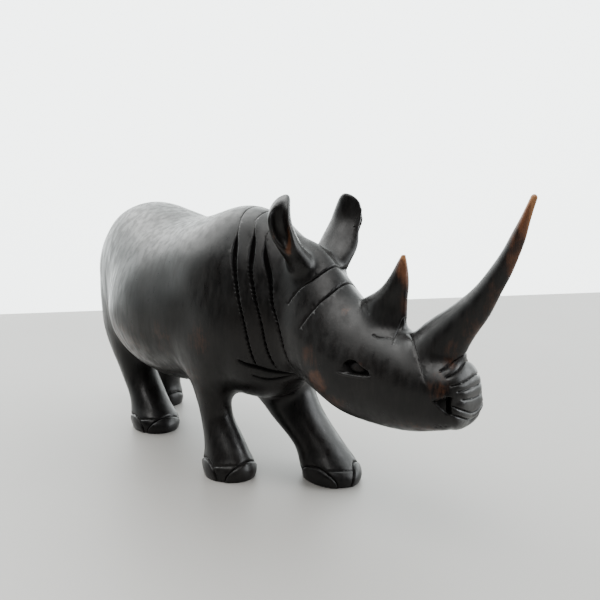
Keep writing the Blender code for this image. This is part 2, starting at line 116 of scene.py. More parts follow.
# The tail lies against the rump: its line and its radii along the line
TAIL_LINE = ((-94, 0, 122), (-106, 0, 106), (-109.2, 0, 90), (-104.5, 0, 70))
TAIL_RADII = (3.0, 3.2, 2.6, 3.6)

# The head turns to its left about an upright line in the neck
HEAD_TURN = 8.0
NECK_PIVOT = 60.0
TURN_STARTS = 30.0
TURN_ENDS = 80.0

# Cross sections of the neck and head, straight ahead: x, lowest height, height
# where it is widest, crest height, half width, and how square it is above and below
HEAD_SECTIONS = (
    (14, 60, 90, 118, 18, 2.0, 2.0),
    (36, 52, 90, 132.5, 24, 2.0, 2.0),
    (60, 55, 88, 131.8, 19.5, 2.0, 2.0),
    (76, 59, 84, 122.8, 17, 1.8, 2.0),
    (90, 54, 81, 118, 20.3, 1.5, 2.2),
    (100, 49.3, 77.5, 108.8, 21, 1.5, 2.2),
    (108, 46, 75, 100.8, 21, 1.5, 2.2),
    (125, 43.7, 70, 92, 19, 1.6, 2.3),
    (145, 45.6, 66, 84, 17, 1.8, 2.4),
    (160, 49.3, 64, 80, 15, 2.0, 2.6),
    (176, 53.5, 64, 75, 13, 2.0, 2.6),
)
NECK_START = 16.0
MUZZLE_END = 169.0
MUZZLE_ROUND = 10.0

# The front horn in the head's upright plane: line of (x, height), radii along it, the
# width across as a share of the radius, and how square the section is
FRONT_HORN = ((145, 70), (156, 86), (170.4, 102.8), (181.2, 121.3), (189.4, 142.6))
FRONT_HORN_RADII = (15.5, 10.4, 5.6, 3.6, 1.4)
FRONT_HORN_FLATNESS = 0.78
FRONT_HORN_SQUARE = 1.75

# Level sections of the rear horn, a fin: rows as for a leg, and how square it is
REAR_HORN = (
    (80, 124, 0, 11, 8.5), (90, 125, 0, 11.2, 7.4), (98, 125.8, 0, 10.8, 5.6),
    (101, 128.5, 0, 8.2, 5.0), (104, 130.6, 0, 6.3, 4.4), (108, 132.4, 0, 4.5, 3.6),
    (112, 133.5, 0, 3.1, 2.7), (116, 134.2, 0, 1.9, 1.6), (119.5, 134.8, 0, 0.6, 0.5),
)
HORN_EDGE = 1.7

# Ears, each a cone turned outwards by an angle, cut off slanting and scooped out in
# front. Level sections: height, centre x, centre y, half depth, half width, and then
# the scoop's shift forwards and outwards, its half depth and its half width
EARS = (
    (98, 85.0, 1.0, 9.0, 6.5, 14.0, 2.0, 0.5, 0.3),
    (106, 86.0, 5.0, 8.8, 6.3, 14.0, 2.0, 0.5, 0.3),
    (113, 86.6, 10.2, 8.4, 6.0, 12.5, 1.6, 0.8, 0.8),
    (118, 86.8, 15.2, 8.2, 5.6, 9.6, 0.8, 2.2, 2.2),
    (124, 86.4, 19.4, 8.0, 5.5, 7.0, 0.2, 4.8, 3.6),
    (131, 86.6, 22.6, 7.8, 5.2, 6.4, 0.0, 5.8, 3.9),
    (137, 86.7, 22.8, 6.9, 4.9, 5.8, 0.0, 5.2, 3.5),
    (142, 86.8, 22.0, 5.6, 4.4, 4.9, -0.2, 4.2, 2.6),
    (147, 87.0, 21.5, 4.6, 4.0, 4.0, -0.2, 3.2, 2.0),
)
# What each side has of its own: the shift along x, the turn, how far the ear leans
# outwards over each share of height above its middle, by how much of its depth it is
# deeper below the tip and its scoop narrower, and how round the scoop's rim is
EAR_PLACES = {-1: (-1.5, 52.0, 0.0, 0.0, 1.9), 1: (0.6, 30.0, 0.12, 0.24, 3.2)}
EAR_MIDDLE = 118.0
# The height of the tip, and over what height below it the deeper ear gains its depth
EAR_TIP = 147.0
EAR_TAPER = 16.0
# The plane that cuts an ear off: its slope outwards and upwards and its distance, and
# the radius of the edge there
EAR_SLANT = (0.61, 0.79, 123.9)
EAR_ROUND = 3.0
EAR_SQUARE = 2.2
# How much painted shade the scoop gets, as a depth of cut
HOLLOW_SHADE = 0.5

# How much of its depth counts as painted shade on the floor of an eye and of a nostril
EYE_SHADE = 0.6
NOSTRIL_SHADE = 0.26

# Neck grooves, as (height, x) from the crest down, and the height where each is widest
NECK_GROOVES = (
    (((134, 46.5), (125.3, 51), (118.6, 53.4), (109.2, 56.5), (95.1, 61.2), (82.5, 65.3),
      (69.8, 67.6), (58, 69.2)), 114),
    (((130, 56), (122.8, 59.7), (114.4, 62.2), (107.3, 63.9), (97.7, 67.3), (83.6, 72.4),
      (68.9, 74.9), (56, 77)), 115),
    (((122, 65), (113, 68.3), (104.7, 72.4), (92.9, 76.1), (82.9, 80.8), (67.8, 84.8),
      (58, 87)), 110),
)
# Half width of a groove by the height above its widest place, and its depth over its
# half width
GROOVE_RISES = (-60, -26, -10, 0, 5, 8, 24)
GROOVE_HALF_WIDTHS = (0.7, 0.85, 1.15, 1.6, 1.3, 0.65, 0.5)
GROOVE_STEEPNESS = 1.7
# The height where the grooves run out, and half of the height that they take to do so
GROOVE_FOOT = 62.0
GROOVE_FADE = 4.0
# Chips along a groove: their length, the length over which it varies, how much wider
# they make the groove, and how far below the widest place they are at full size
GROOVE_CHIPS = (2.3, 9.1, 0.22)
CHIPS_START = 20.0

# How hollow the flanks of every V cut are
NOTCH_POWER = 1.3

# Knife strokes on both sides of the head: line of (x, height), half width, depth. Each
# gets thinner towards its end by this share
STROKE_TAPER = 0.6
STROKES = (
    (((99, 112), (97.3, 109.3), (94.5, 105.2), (89.5, 100.7), (84.9, 93.7)), 0.8, 1.1),
    (((106, 104.5), (104.4, 102.4), (103, 98.9), (100.7, 95.6), (94.6, 84.5)), 0.8, 1.1),
    (((119, 96.7), (120.1, 94.7), (122.3, 92.6)), 0.5, 0.5),
    (((136.3, 91.9), (135.6, 89.4), (135.6, 86.1), (137.3, 82.2)), 0.6, 0.8),
    (((127.6, 85), (130.1, 84.2), (133.1, 84.3), (136.4, 84.4)), 0.5, 0.5),
    (((139.7, 86.2), (144.1, 84.8), (149, 80.4), (153.1, 75.1), (157.1, 69.5)), 0.6, 0.65),
)

# Creases across the chest under the grooves, given like the strokes
CREASES = (
    (((61.5, 64.6), (65, 63), (68.4, 62.2), (73.9, 59.9), (80, 58.6), (84, 59)), 1.6, 1.5),
    (((65.5, 57.2), (69, 55.6), (73, 55.4), (77, 56.5), (80, 57.5)), 1.4, 1.2),
)

# Eye: (x, height) along the raised lower lid and the upper lid, the slit behind the
# eyeball, the depth of the slit and of the socket, and the eyeball's centre, half
# length, half height and how far it stands out of the socket
LOWER_LID = ((115.2, 69.0), (119.1, 68.7), (122.8, 68.7), (127.4, 68.9), (132.4, 69.5))
UPPER_LID = ((115.6, 69.3), (117.4, 71), (118.5, 72.4), (119.6, 73.8), (120.8, 74.7),
             (123.2, 75.1), (125.5, 74.3), (127.5, 73.1), (129.4, 72.2), (131.3, 71.1),
             (132.1, 69.8))
EYE_SLIT = ((119.6, 73.8), (122.5, 70.3))
EYE_SLIT_DEPTH = 2.4
EYE_DEPTH = 2.0
EYEBALL = ((125.4, 72.0), 3.8, 2.7, 1.1)
LID_RISE = 0.4
# How far from the head's middle plane the cuts on its sides reach their full depth, and
# over what distance
CUTS_SIDE = 12.0
CUTS_FADE = 4.0
# The cuts of the nose and mouth lie ahead of this x, and those of the eye behind it
MUZZLE_START = 150.0

# Nostril: (x, height) along its upper and its lower edge, and how deep its floor
# and its front slot go
NOSTRIL_TOP = ((159.8, 64.5), (162.5, 65.9), (165.3, 66.8), (167.2, 66.7))
NOSTRIL_FOOT = ((159.8, 64.4), (161.5, 62.9), (163.1, 61.5), (165.7, 59.5), (167.2, 58.8))
NOSTRIL_FRONT = 166.3
NOSTRIL_DEPTH = 1.6
NOSTRIL_SLOT = 1.8

# Valleys between the bands of the upper lip, from the top one down: height at the
# side and in front, and how far forwards each starts, as x less |y|
LIP_VALLEYS = (
    (75.2, 81.3, 149.0), (73.5, 78.0, 151.6), (70.7, 72.8, 153.6), (68.5, 68.8, 157.6),
    (65.8, 64.1, 160.1), (62.8, 57.9, 154.2), (59.6, 55.0, 153.0),
)
# The y of the bands' crest, how rounded they are there, and how far from it the heights
# at the side count
LIP_MIDDLE = 2.0
LIP_SOFTNESS = 3.0
LIP_SIDE = 10.3
# The line in each valley: half width and depth, and how far it takes to get there
LIP_LINE = (0.42, 0.75)
LIP_START = 1.2
# How far each band stands out between its valleys, the foot of the last one, and how
# far a band takes to stand out in full
LIP_RISES = (0.5, 0.5, 0.5, 0.7, 0.8, 0.9, 1.2)
LIP_LAST = (55.0, 48.2, 155.0)
LIP_SWELL = 4.5

# The mouth's line is four small pits on each side: (x, height), half width and depth
MOUTH_PITS = ((160, 53.1), (162, 53.7), (163.8, 54.1), (165, 54.2))
MOUTH_PIT = (0.55, 0.5)

# Toenails of each foot: angle of the middle from +X, half angle, height
NAILS = {
    "right_front": ((-107, 44, 9.5), (8, 52, 9.0), (118, 40, 8.5)),
    "left_front": ((-78, 50, 9.0), (30, 34, 9.5), (112, 40, 9.0)),
    "right_hind": ((-100, 44, 9.0), (2, 50, 9.0), (105, 44, 8.5)),
    "left_hind": ((-100, 44, 9.0), (2, 50, 9.0), (105, 44, 8.5)),
}
# How far a nail stands out, how wide its rim is, and half width and depth of its line
NAIL_RISE = 0.5
NAIL_RIM = 1.1
NAIL_LINE = (0.75, 0.9)
# An arch's line is narrowed where it is steep: up to which share of the half angle, the
# length of a degree round a foot, and the share of the squared slope that counts
NAIL_END = 0.97
NAIL_DEGREE = 0.22
NAIL_SLOPE = 0.25
# The line across a foot between the nails: height, sag, half width and depth
FOOT_LINE = (7.2, 1.2, 0.65, 0.6)

# The hand's waver: wave length, direction and size of each
HAND_WAVES = ((41, (1, 0.3, 0.5), 0.16), (27, (-0.4, 1, 0.7), 0.12), (17, (0.6, -0.5, 1), 0.07))

# Wear: the probe that finds edges, and the turns at which wear starts and is full
WEAR_PROBE = 1.2
WEAR_STARTS = 0.25
WEAR_ENDS = 1.1

# Worn places on both sides of the straight animal: centre, radii, how bare
WORN_PLACES = (
    ((189, 0, 138), (6, 6, 16), 1.0), ((184.5, 0, 120), (5, 6, 16), 0.62),
    ((177, 0, 104), (5.5, 6, 13), 0.5), ((169, -2, 92), (5.5, 6, 10), 0.45),
    ((163, -6, 82), (6, 7, 8), 0.42), ((136.5, 0, 116), (5, 6, 14), 0.8),
    ((138, -2, 100), (4, 6, 12), 0.45), ((88, -27, 128), (3, 3, 14), 0.4),
    ((84, -19, 114), (7, 5, 7), 0.3), ((104, -19, 62), (7, 8, 8), 0.66),
    ((101, -20, 72), (6, 8, 8), 0.42), ((111, -18, 53), (11, 9, 5), 0.45),
    ((161, -12, 70), (5, 7, 7), 0.45), ((152, -12, 51), (20, 10, 4), 0.4),
    ((-26, -43, 60), (34, 16, 16), 0.42), ((-58, -33, 72), (14, 10, 22), 0.36),
    ((14, -40, 68), (10, 12, 12), 0.38), ((42, -34, 72), (8, 9, 11), 0.36),
    ((30, -30, 50), (10, 12, 16), 0.36), ((-70, -30, 50), (14, 14, 18), 0.25),
    ((111.5, -9, 93), (2.4, 4, 3.4), 0.55), ((126, -17, 72), (4.5, 6, 3), 0.42),
    ((89.5, -21.5, 121), (1.6, 2.4, 8), 0.8),
)

# Finish colours, with the colour of the painted shade in the cuts
STAIN_DARK = (0.0030, 0.0027, 0.0027, 1)
STAIN_LIGHT = (0.0080, 0.0068, 0.0064, 1)
BROWN_DEEP = (0.026, 0.0092, 0.0048, 1)
BROWN_BRIGHT = (0.105, 0.042, 0.020, 1)
TAN = (0.30, 0.145, 0.065, 1)
# Near-black colour of the painted shade on the floors of the cuts
CUT_PAINTED_SHADE = (0.0025, 0.0023, 0.0023, 1)
FLOOR_COLOUR = (0.26, 0.25, 0.238, 1)
ROOM_COLOUR = (0.93, 0.98, 0.97, 1)
# The room's brightest and dimmest light, its brightest direction (behind the carving, to
# the camera's right, up), and how far a direction agrees with it at both ends
ROOM_BRIGHT = 5.0
ROOM_DIM = 0.10
ROOM_DIRECTION = (0.92, -0.05, 0.40)
ROOM_TURNS = (-0.15, 0.95)

# Corners of the floor in metres: to the camera's right and behind the carving
FLOOR_CORNERS = ((-1.6, -2.2), (1.6, -2.2), (1.6, 0.796), (-1.6, 0.14))

# Soft lights, aimed at this height: metres to the camera's left, up and behind the
# carving, then size, power and colour
LIGHTS_AIM = 0.07
LIGHTS = {
    "window": (0.80, 0.95, 0.60, 1.0, 15.0, (1.0, 0.99, 0.97)),
    "side": (-1.25, 0.55, -0.10, 1.0, 26.0, (0.95, 0.98, 1.0)),
    "ceiling": (0.20, 1.30, -0.50, 1.0, 20.0, (1.0, 0.99, 0.97)),
}


def through(at, knots, values):
    """A smooth curve through (knot, value) pairs: cubic Hermite pieces."""
    knots = np.asarray(knots, float)
    values = np.asarray(values, float)
    slopes = np.gradient(values, knots)
    at = np.clip(at, knots[0], knots[-1])
    k = np.clip(np.searchsorted(knots, at, side="right") - 1, 0, len(knots) - 2)
    step = knots[k + 1] - knots[k]
    u = (at - knots[k]) / step
    start = (1 + 2 * u) * (1 - u) ** 2 * values[k] + u * (1 - u) ** 2 * step * slopes[k]
    end = u * u * (3 - 2 * u) * values[k + 1] + u * u * (u - 1) * step * slopes[k + 1]
    return start + end


def ramp(value):
    """0 below 0, 1 above 1, and a smooth S between."""
    u = np.clip(value, 0, 1)
    return u * u * (3 - 2 * u)


def smooth_union(a, b, blend):
    """The lesser field, with a fillet where the two are within the blend."""
    close = np.maximum(blend - np.abs(a - b), 0) / blend
    return np.minimum(a, b) - close * close * blend / 4


def smooth_cut(a, b, blend):
    """The greater field, with the edge rounded by the blend."""
    return -smooth_union(-a, -b, blend)


def near(points, lower, upper, field, elsewhere=OUT_OF_REACH):
    """A field worked out only for the points within a box."""
    result = np.full(points.shape[:-1], elsewhere, float)
    close = ((points > lower) & (points < upper)).all(-1)
    if close.any():
        result[close] = field(points[close])
    return result


def ellipsoid(points, centre, radii):
    """Offset over radii, its length k and k over the radii again: k(k - 1) / that."""
    offset = points - np.asarray(centre, float)
    height = np.where(offset[..., 2] > 0, radii[2], radii[3])
    radius = np.stack([np.full_like(height, radii[0]), np.full_like(height, radii[1]), height], -1)
    k = np.linalg.norm(offset / radius, axis=-1)
    slope = np.linalg.norm(offset / radius ** 2, axis=-1)
    return k * (k - 1) / np.maximum(slope, 1e-9)


def section(across, up, half_width, half_height, square):
    """Distance from a superellipse: offset length times (1 - 1 / its own norm)."""
    k = ((np.abs(across) / half_width) ** square + (np.abs(up) / half_height) ** square) ** (1 / square)
    distance = np.hypot(across, up) * (1 - 1 / np.maximum(k, 1e-6))
    return np.where(k < 1e-3, -np.minimum(half_width, half_height), distance)


def leg(points, rows, square=2.0):
    """Level ovals whose centre and radii follow smooth curves up the rows."""
    table = np.asarray(rows, float)
    height = points[..., 2]
    x, y, half_length, half_width = (through(height, table[:, 0], table[:, i]) for i in range(1, 5))
    side = section(points[..., 0] - x, points[..., 1] - y, half_length, half_width, square)
    return np.maximum(side, np.maximum(height - table[-1, 0], table[0, 0] - height))


def head_block(points):
    """Upright superellipse sections along x, with their own power above and below."""
    table = np.asarray(HEAD_SECTIONS, float)
    low, wide, crest, half_width, above, below = (
        through(points[..., 0], table[:, 0], table[:, i]) for i in range(1, 7))
    up = points[..., 2] - wide
    half_height = np.where(up > 0, crest - wide, wide - low)
    block = section(points[..., 1], up, half_width, half_height, np.where(up > 0, above, below))
    block = smooth_cut(block, points[..., 0] - MUZZLE_END, MUZZLE_ROUND)
    return smooth_cut(block, NECK_START - points[..., 0], MUZZLE_ROUND)


def nearest_on(points, line, values, steps=24):
    """Distance to a smooth line, and the value that the line has at the nearest place."""
    line = np.asarray(line, float)
    knots = np.arange(len(line))
    places = np.linspace(0, len(line) - 1, steps)
    line = np.stack([through(places, knots, line[:, i]) for i in range(line.shape[1])], 1)
    values = through(places, knots, values)
    distance = np.full(points.shape[:-1], np.inf)
    result = np.zeros(points.shape[:-1])
    for start, end, first, last in zip(line[:-1], line[1:], values[:-1], values[1:]):
        along = end - start
        u = np.clip(((points - start) @ along) / (along @ along), 0, 1)
        away = np.linalg.norm(points - (start + u[..., None] * along), axis=-1)
        closer = away < distance
        distance = np.where(closer, away, distance)
        result = np.where(closer, first + u * (last - first), result)
    return distance, result


def front_horn(points):
    """A tapering blade in the plane y = 0, thinner across it by its flatness."""
    distance, radius = nearest_on(points[..., [0, 2]], FRONT_HORN, FRONT_HORN_RADII)
    return section(distance, points[..., 1], radius, radius * FRONT_HORN_FLATNESS, FRONT_HORN_SQUARE)


def ear_parts(points, side):
    """An ear's cone of level ovals turned outwards, with its slanting end, and its scoop."""
    table = np.asarray(EARS, float)
    height = points[..., 2]
    x, y, half_depth, half_width, ahead, aside, cup_depth, cup_width = (
        through(height, table[:, 0], table[:, i]) for i in range(1, 9))
    shift, turn, lean, deeper, _ = EAR_PLACES[side]
    turn = radians(turn)
    across = side * points[..., 1] - lean * (height - EAR_MIDDLE)
    x = points[..., 0] - x - shift
    forward = x * np.cos(turn) + (across - y) * np.sin(turn)
    outward = (across - y) * np.cos(turn) - x * np.sin(turn)
    half_depth = half_depth * (1 + deeper * ramp((EAR_TIP - height) / EAR_TAPER))
    cone = section(forward, outward, half_depth, half_width, EAR_SQUARE)
    slant = EAR_SLANT[0] * across + EAR_SLANT[1] * height - EAR_SLANT[2]
    cone = smooth_cut(cone, np.maximum(slant, table[0, 0] - height), EAR_ROUND)
    return cone, section(forward - ahead, outward - aside, cup_depth, cup_width * (1 - deeper), 2.0)


def ear(points, side):
    """An ear: the cone less its scoop."""
    cone, cup = ear_parts(points, side)
    return smooth_cut(cone, -cup, EAR_PLACES[side][-1])


def ear_hollows(points):
    """1 inside the scoops of the ears, for straightened points, and 0 elsewhere."""
    inside = np.zeros(len(points))
    for side in EAR_PLACES:
        ends = (70, min(side * 40, side * 6), 110), (112, max(side * 40, side * 6), 152)
        room = near(points, *ends, lambda close: ear_parts(close, side)[1], 10)
        inside = np.maximum(inside, ramp((0.5 - room) / 0.8))
    return inside


def straighten(points):
    """The points turned back about the neck, as if the head looked straight ahead."""
    turn = radians(HEAD_TURN) * ramp((points[..., 0] - TURN_STARTS) / (TURN_ENDS - TURN_STARTS))
    ahead = points[..., 0] - NECK_PIVOT
    side = points[..., 1]
    x = NECK_PIVOT + ahead * np.cos(turn) + side * np.sin(turn)
    y = side * np.cos(turn) - ahead * np.sin(turn)
    return np.stack([x, y, points[..., 2]], -1)


def tail_rod(points):
    """A round rod along the tail's line."""
    distance, radius = nearest_on(points, TAIL_LINE, TAIL_RADII)
    return distance - radius


def trunk(points):
    """Rump, barrel, shoulders and chest, blended in turn, and the tail on the rump."""
    fold = HIND_FOLD + (TRUNK_BLEND - HIND_FOLD) * ramp((points[..., 2] - FOLD_HEIGHTS[0])
                                                        / (FOLD_HEIGHTS[1] - FOLD_HEIGHTS[0]))
    whole = smooth_union(ellipsoid(points, *RUMP), ellipsoid(points, *BARREL), fold)
    saddle = TRUNK_BLEND + (SADDLE_BLEND - TRUNK_BLEND) * ramp(
        (points[..., 2] - SADDLE_HEIGHTS[0]) / (SADDLE_HEIGHTS[1] - SADDLE_HEIGHTS[0]))
    for mass in (SHOULDERS, CHEST):
        whole = smooth_union(whole, ellipsoid(points, *mass), saddle)
    tail = near(points, (-114, -12, 60), (-80, 12, 130), tail_rod)
    return smooth_union(whole, tail, HORN_BLEND)


def head(points):
    """Neck and head with both horns, for straightened points."""
    whole = head_block(points)
    rear = near(points, (104, -16, 76), (152, 16, 130), lambda close: leg(close, REAR_HORN, HORN_EDGE))
    front = near(points, (120, -24, 48), (202, 24, 155), front_horn)
    return smooth_union(smooth_union(whole, rear, HORN_BLEND), front, HORN_BLEND)


def masses(points):
    """The whole animal before its lines are cut."""
    whole = trunk(points)
    straight = straighten(points)
    whole = smooth_union(whole, near(straight, (14, -60, -10), (210, 60, 160), head), NECK_BLEND)
    for rows in LEGS.values():
        xs = [row[1] for row in rows]
        ends = (min(xs) - 32, -50, -10), (max(xs) + 32, 50, 112)
        whole = smooth_union(whole, near(points, *ends, lambda close: leg(close, rows)), LEG_BLEND)
    for side in EAR_PLACES:
        ends = (62, min(side * 40, -2), 94), (108, max(side * 40, 2), 152)
        whole = smooth_union(whole, near(straight, *ends, lambda close: ear(close, side)), EAR_BLEND)
    return whole


def notch(distance, half_width, depth):
    """The depth of a V cut with a rounded rim: the share of the way in to a power."""
    return depth * (1 - np.clip(distance / half_width, 0, 1)) ** NOTCH_POWER


def neck_grooves(points):
    """Three cuts round the neck, each at its own x for every height, chipped lower down,
    and the creases across the chest, which swell between their thin ends."""
    depth = np.zeros(points.shape[:-1])
    height = points[..., 2]
    chip_length, chip_beat, chip_size = GROOVE_CHIPS
    for places, widest in NECK_GROOVES:
        line = np.array(places[::-1], float)
        half_width = through(height - widest, GROOVE_RISES, GROOVE_HALF_WIDTHS)
        beat = np.sin(2 * np.pi * height / chip_beat + widest)
        chips = np.sin(2 * np.pi * height / chip_length + 1.5 * beat)
        half_width = half_width * (1 + chip_size * chips * ramp((widest - height) / CHIPS_START))
        distance = np.abs(points[..., 0] - through(height, line[:, 0], line[:, 1]))
        depth = np.maximum(depth, notch(distance, half_width, GROOVE_STEEPNESS * half_width))
    depth = depth * ramp((height - GROOVE_FOOT + GROOVE_FADE) / (2 * GROOVE_FADE))
    for line, half_width, deep in CREASES:
        swells = np.sin(np.linspace(0.25, 0.75, len(line)) * np.pi)
        distance, share = nearest_on(points[..., [0, 2]], line, swells, steps=12)
        depth = np.maximum(depth, notch(distance, half_width * share, deep * share))
    return depth


def between_curves(x, height, lower, upper):
    """The room to the nearer of two curves of height over x, negative outside them."""
    room = np.minimum(height - through(x, *zip(*lower)), through(x, *zip(*upper)) - height)
    inside = (x > upper[0][0]) & (x < upper[-1][0])
    return np.where(inside, room, -1)


def eye(points):
    """A socket that falls from its rear corner to a slit, with the eyeball beyond the
    slit standing nearly to the surface, and a raised lower lid."""
    x = points[..., 0]
    height = points[..., 2]
    room = between_curves(x, height, LOWER_LID, UPPER_LID)
    (slit_x, slit_top), (slit_end, slit_low) = EYE_SLIT
    slit = slit_x + (slit_end - slit_x) * (slit_top - height) / (slit_top - slit_low)
    corner = UPPER_LID[0][0]
    facet = EYE_SLIT_DEPTH * np.clip((x - corner) / np.maximum(slit - corner, 1), 0, 1) ** 2.2
    (ball_x, ball_height), ball_length, ball_rise, ball_depth = EYEBALL
    away = np.hypot((x - ball_x) / ball_length, (height - ball_height) / ball_rise)
    ball = EYE_DEPTH - ball_depth * np.sqrt(np.clip(1 - away ** 2, 0, 1))
    depth = np.where(x < slit, facet, ball) * ramp(room / 0.6 + 0.1)
    lid = np.abs(height - 0.3 - through(x, *zip(*LOWER_LID)) + 0.6)
    ends = ramp((x - LOWER_LID[0][0]) / 2) * ramp((LOWER_LID[-1][0] - x) / 2)
    return np.where(room > 0, depth, -LID_RISE * ends * ramp(1.3 - lid / 0.6))


def nostril(points):
    """A floor that falls forwards, and a deeper upright slot at its front end."""
    x = points[..., 0]
    room = between_curves(x, points[..., 2], NOSTRIL_FOOT, NOSTRIL_TOP)
    rear = NOSTRIL_TOP[0][0]
    share = np.clip((x - rear) / (NOSTRIL_FRONT - rear), 0, 1)
    foot = through(x, *zip(*NOSTRIL_FOOT))
    up = np.clip((points[..., 2] - foot) / np.maximum(through(x, *zip(*NOSTRIL_TOP)) - foot, 0.3), 0, 1)
    slot = NOSTRIL_SLOT * ramp((share - 0.80) / 0.14)
    edge = ramp((NOSTRIL_FRONT + 0.4 - x) / 0.5)
    return (0.25 + NOSTRIL_DEPTH * (0.45 * share + 0.75 * up) + slot) * ramp(room / 0.4) * edge


def lip_folds(points):
    """Arched bands that stand out between valleys, and a thin line in each valley."""
    side = (np.hypot(points[..., 1] - LIP_MIDDLE, LIP_SOFTNESS) - LIP_SOFTNESS) / LIP_SIDE
    height = points[..., 2]
    starts = points[..., 0] - np.abs(points[..., 1])
    depth = np.zeros(height.shape)
    valleys = [(in_front + (at_side - in_front) * side, start)
               for at_side, in_front, start in LIP_VALLEYS + (LIP_LAST,)]
    for (top, start), (foot, next_start), rise in zip(valleys[:-1], valleys[1:], LIP_RISES):
        share = np.clip((top - height) / (top - foot), 0, 1)
        fade = ramp((starts - start - (next_start - start) * share) / LIP_SWELL)
        depth -= rise * fade * np.clip(1 - (2 * share - 1) ** 2, 0, 1) ** 0.7
    for valley, start in valleys[:-1]:
        depth += notch(np.abs(height - valley), *LIP_LINE) * ramp((starts - start) / LIP_START)
    return depth


def head_cuts(points):
    """Everything that the knife cut on the head, for straightened points."""
    depth = np.zeros(points.shape[:-1])
    for line, half_width, deep in STROKES:
        thins = 1 - STROKE_TAPER * (np.arange(len(line)) / (len(line) - 1)) ** 2
        distance, share = nearest_on(points[..., [0, 2]], line, thins, steps=12)
        depth = np.maximum(depth, notch(distance, half_width * share, deep * share))
    on_side = ramp((np.abs(points[..., 1]) - CUTS_SIDE + CUTS_FADE) / CUTS_FADE)
    for x, height in MOUTH_PITS:
        distance = np.hypot(points[..., 0] - x, points[..., 2] - height)
        depth = np.maximum(depth, notch(distance, *MOUTH_PIT) * on_side)
    on_muzzle = points[..., 0] > MUZZLE_START
    nose = nostril(points) * on_side
    depth = np.where(on_muzzle, np.where(nose > 0, nose, depth + lip_folds(points)), depth)
    looks = eye(points) * on_side
    return np.where(~on_muzzle & (looks != 0), looks, depth)


def nail_cuts(points, foot, nails):
    """Raised plates under arches round a foot, and a line across it between them."""
    angle = np.degrees(np.arctan2(points[..., 1] - foot[2], points[..., 0] - foot[1]))
    height = points[..., 2]
    depth = np.zeros(height.shape)
    rise = np.zeros(height.shape)
    for middle, half_angle, top in nails:
        share = ((angle - middle + 180) % 360 - 180) / half_angle
        arch = top * np.sqrt(np.clip(1 - share ** 2, 0, 1))
        bent = np.clip(share, -NAIL_END, NAIL_END) ** 2
        slope = NAIL_SLOPE * (top / (NAIL_DEGREE * half_angle)) ** 2 * bent / (1.001 - bent)
        over = (height - arch) / np.sqrt(1 + slope)
        inside = np.abs(share) < 1
        depth = np.maximum(depth, notch(np.abs(over), *NAIL_LINE) * inside)
        rise = np.maximum(rise, ramp(-over / NAIL_RIM) * inside)
    line_height, sag, half_width, deep = FOOT_LINE
    line = line_height + sag * np.cos(np.radians(2 * angle + 60))
    across = notch(np.abs(height - line), half_width, deep) * (rise < 0.01)
    return np.maximum(depth, across) - NAIL_RISE * rise


def cut_depth(points):
    """How deep the knife went at each point of the smooth surface; raised is negative."""
    straight = straighten(points)
    depth = near(straight, (38, -40, 54), (96, 40, 140), neck_grooves, 0)
    head_depth = near(straight, (80, -30, 48), (172, 30, 120), head_cuts, 0)
    depth = np.where(head_depth != 0, head_depth, depth)
    for name, rows in LEGS.items():
        foot = rows[1]
        ends = (foot[1] - 20, foot[2] - 17, -5), (foot[1] + 20, foot[2] + 17, 14)
        cuts = near(points, *ends, lambda close: nail_cuts(close, foot, NAILS[name]), 0)
        depth = np.where(cuts != 0, cuts, depth)
    return depth


def cut_shade(points, depth):
    """The depth of the cuts as painted shade, for straightened points: the floors
    of the eyes and nostrils keep their polish and count for less."""
    x = points[:, 0]
    height = points[:, 2]
    for lower, upper, share in ((LOWER_LID, UPPER_LID, EYE_SHADE),
                                (NOSTRIL_FOOT, NOSTRIL_TOP, NOSTRIL_SHADE)):
        depth = np.where(between_curves(x, height, lower, upper) > 0, share * depth, depth)
    return depth


def fill_pinches(values):
    """Fills grid points until no cell face is inside at two opposite corners only,
    so that no edge of the mesh belongs to four faces."""
    pinched = True
    while pinched:
        pinched = False
        for u, v in ((0, 1), (0, 2), (1, 2)):
            corners = {}
            for shift in ((0, 0), (0, 1), (1, 0), (1, 1)):
                window = [slice(None)] * 3
                window[u] = slice(shift[0], values.shape[u] - 1 + shift[0])
                window[v] = slice(shift[1], values.shape[v] - 1 + shift[1])
                corners[shift] = values[tuple(window)]
            inside = {shift: corner < 0 for shift, corner in corners.items()}
            one_way = inside[0, 0] & inside[1, 1] & ~inside[0, 1] & ~inside[1, 0]
            other_way = inside[0, 1] & inside[1, 0] & ~inside[0, 0] & ~inside[1, 1]
            cross = one_way | other_way
            if cross.any():
                pinched = True
                for corner in corners.values():
                    corner[cross] = np.minimum(corner[cross], -0.01)


